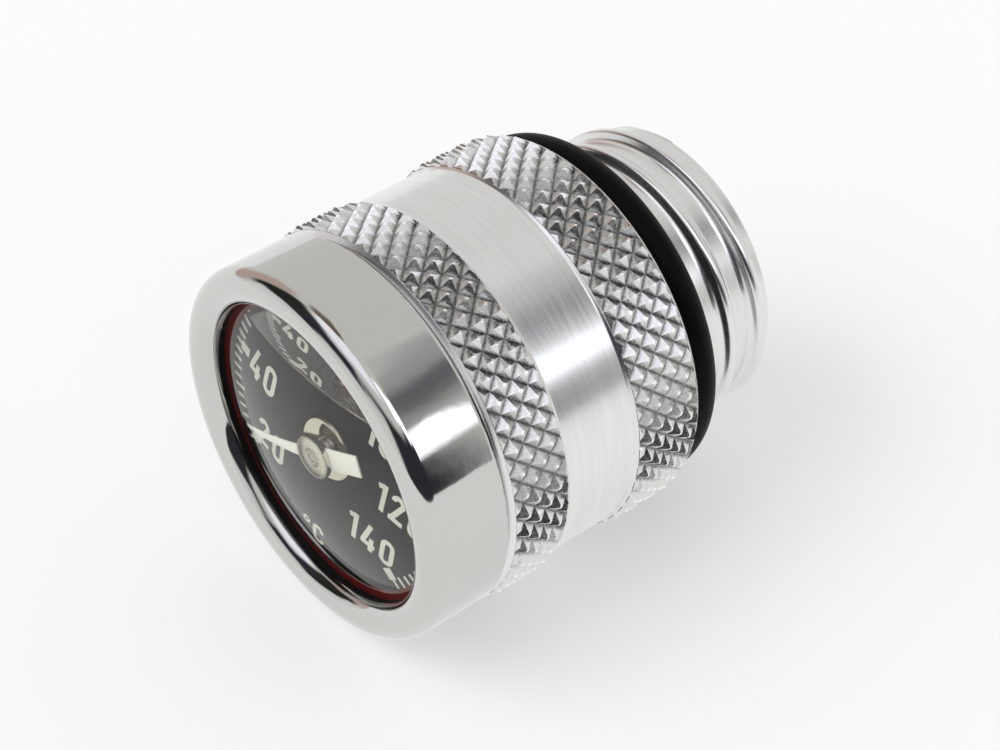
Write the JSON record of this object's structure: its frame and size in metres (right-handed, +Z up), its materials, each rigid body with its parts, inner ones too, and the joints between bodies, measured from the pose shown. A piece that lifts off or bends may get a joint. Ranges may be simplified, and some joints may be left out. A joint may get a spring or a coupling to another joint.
{
  "type": "oil temperature gauge",
  "caption": "Screw-in oil temperature gauge: knurled filler screw with coarse threaded neck and sealing ring, and a turning liquid-filled dial head with bimetal stem.",
  "frame": {"origin": "centre of the flange's sealing face, on the main axis", "axes": "+Y along the main axis towards the end of the threaded neck, -Y out of the dial towards the reader, +Z up as the gauge lies on a table, dial turned about 12 degrees clockwise from upright"},
  "size_m": [0.031, 0.0397, 0.031],
  "materials": {
    "turned_aluminium": "satin, polished waist",
    "black_rubber": "satin",
    "white_washer_plastic": "plain",
    "clear_damping_oil": "clear liquid",
    "black_lacquered_brass": "satin black",
    "bezel_chrome": "polished",
    "clear_lens": "clear",
    "gasket_rubber": "matte",
    "red_fibre_gasket": "pressed fibre",
    "black_spacer_plastic": "matte",
    "black_dial_lacquer": "satin black",
    "white_dial_print": "matte ink",
    "polished_nickel": "polished",
    "spring_steel": "phosphated",
    "plain_brass": "turned",
    "stainless_stem": "satin",
    "white_pointer_paint": "matte white",
    "turned_nickel": "turned",
    "bimetal_strip": "rolled"
  },
  "bodies": {
    "screw": {"knurled_body": "turned_aluminium", "flange_seal_ring": "black_rubber", "thrust_washer": "white_washer_plastic", "damping_oil": "clear_damping_oil"},
    "head": {"case": "black_lacquered_brass", "bezel": "bezel_chrome", "lens_front_ring": "gasket_rubber", "lens": "clear_lens", "lens_gasket": "red_fibre_gasket", "spacer_ring": "black_spacer_plastic", "dial_plate": "black_dial_lacquer", "dial_print": "white_dial_print", "dial_bearing_boss": "polished_nickel", "brake_ring": "gasket_rubber", "retaining_clip": "spring_steel", "fill_plug": "plain_brass", "stem_tube": "stainless_stem", "stem_guide_bush": "plain_brass", "stem_plug": "stainless_stem", "coil_anchor": "plain_brass"},
    "pointer_movement": {"pointer": "white_pointer_paint", "pointer_hub": "turned_nickel", "spindle": "stainless_stem", "spindle_collar": "stainless_stem", "coil_collar": "plain_brass", "bimetal_coil": "bimetal_strip"}
  },
  "joints": [
    {"name": "head_turn", "type": "hinge", "parent": "screw", "child": "head", "pos_m": [0, -0.018, 0], "axis": [0, 1, 0], "continuous": true},
    {"name": "pointer_sweep", "type": "hinge", "parent": "head", "child": "pointer_movement", "pos_m": [0, -0.022, 0], "axis": [0, 1, 0], "range_deg": [-10, 258]}
  ]
}
